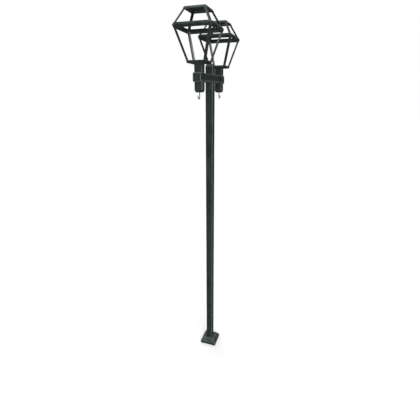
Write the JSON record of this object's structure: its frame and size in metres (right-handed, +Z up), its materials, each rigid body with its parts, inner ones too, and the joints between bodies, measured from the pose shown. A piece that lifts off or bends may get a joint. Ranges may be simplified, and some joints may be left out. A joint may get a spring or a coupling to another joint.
{
  "type": "twin lantern lamp post",
  "caption": "Tall square lamp post with a hipped base cover, a square tube arm across its head, an open square lantern frame above each end of the arm and a J-hook below each.",
  "frame": {"origin": "middle of the base plate's underside, on the ground", "axes": "+Z up along the post, +X along the arm from the left lantern to the right, +Y to the back"},
  "size_m": [1.2668, 0.4618, 5.0982],
  "materials": {
    "base_paint": "worn satin paint",
    "post_paint": "worn satin paint",
    "lantern_paint": "worn satin paint",
    "hook_iron": "worn satin paint",
    "fastener_steel": "zinc plated"
  },
  "bodies": {
    "root": {"base_plate": "base_paint", "base_weld": "base_paint", "base_cover": "base_paint", "cover_screws": "fastener_steel", "post_tube": "post_paint", "post_head": "post_paint", "post_cap": "post_paint", "arm_tube": "post_paint", "arm_left_end": "post_paint", "arm_right_end": "post_paint", "drop_left": "post_paint", "drop_right": "post_paint", "drop_cap_left": "post_paint", "drop_cap_right": "post_paint", "cap_screws": "fastener_steel", "hook_left": "hook_iron", "hook_right": "hook_iron", "hook_nuts": "fastener_steel", "stem_left": "post_paint", "stem_right": "post_paint", "stem_plate_left": "post_paint", "stem_plate_right": "post_paint", "tray_left": "lantern_paint", "tray_right": "lantern_paint", "clamp_plate_left": "lantern_paint", "clamp_plate_right": "lantern_paint", "tray_bolts_left": "fastener_steel", "tray_bolts_right": "fastener_steel", "lower_bar_left_1": "lantern_paint", "lower_bar_left_2": "lantern_paint", "lower_bar_left_3": "lantern_paint", "lower_bar_left_4": "lantern_paint", "lower_bar_right_1": "lantern_paint", "lower_bar_right_2": "lantern_paint", "lower_bar_right_3": "lantern_paint", "lower_bar_right_4": "lantern_paint", "waist_rail_left_1": "lantern_paint", "waist_rail_left_2": "lantern_paint", "waist_rail_left_3": "lantern_paint", "waist_rail_left_4": "lantern_paint", "waist_rail_right_1": "lantern_paint", "waist_rail_right_2": "lantern_paint", "waist_rail_right_3": "lantern_paint", "waist_rail_right_4": "lantern_paint", "upper_bar_left_1": "lantern_paint", "upper_bar_left_2": "lantern_paint", "upper_bar_left_3": "lantern_paint", "upper_bar_left_4": "lantern_paint", "upper_bar_right_1": "lantern_paint", "upper_bar_right_2": "lantern_paint", "upper_bar_right_3": "lantern_paint", "upper_bar_right_4": "lantern_paint", "roof_left": "lantern_paint", "roof_right": "lantern_paint", "rivets_left": "lantern_paint", "rivets_right": "lantern_paint"}
  },
  "joints": []
}
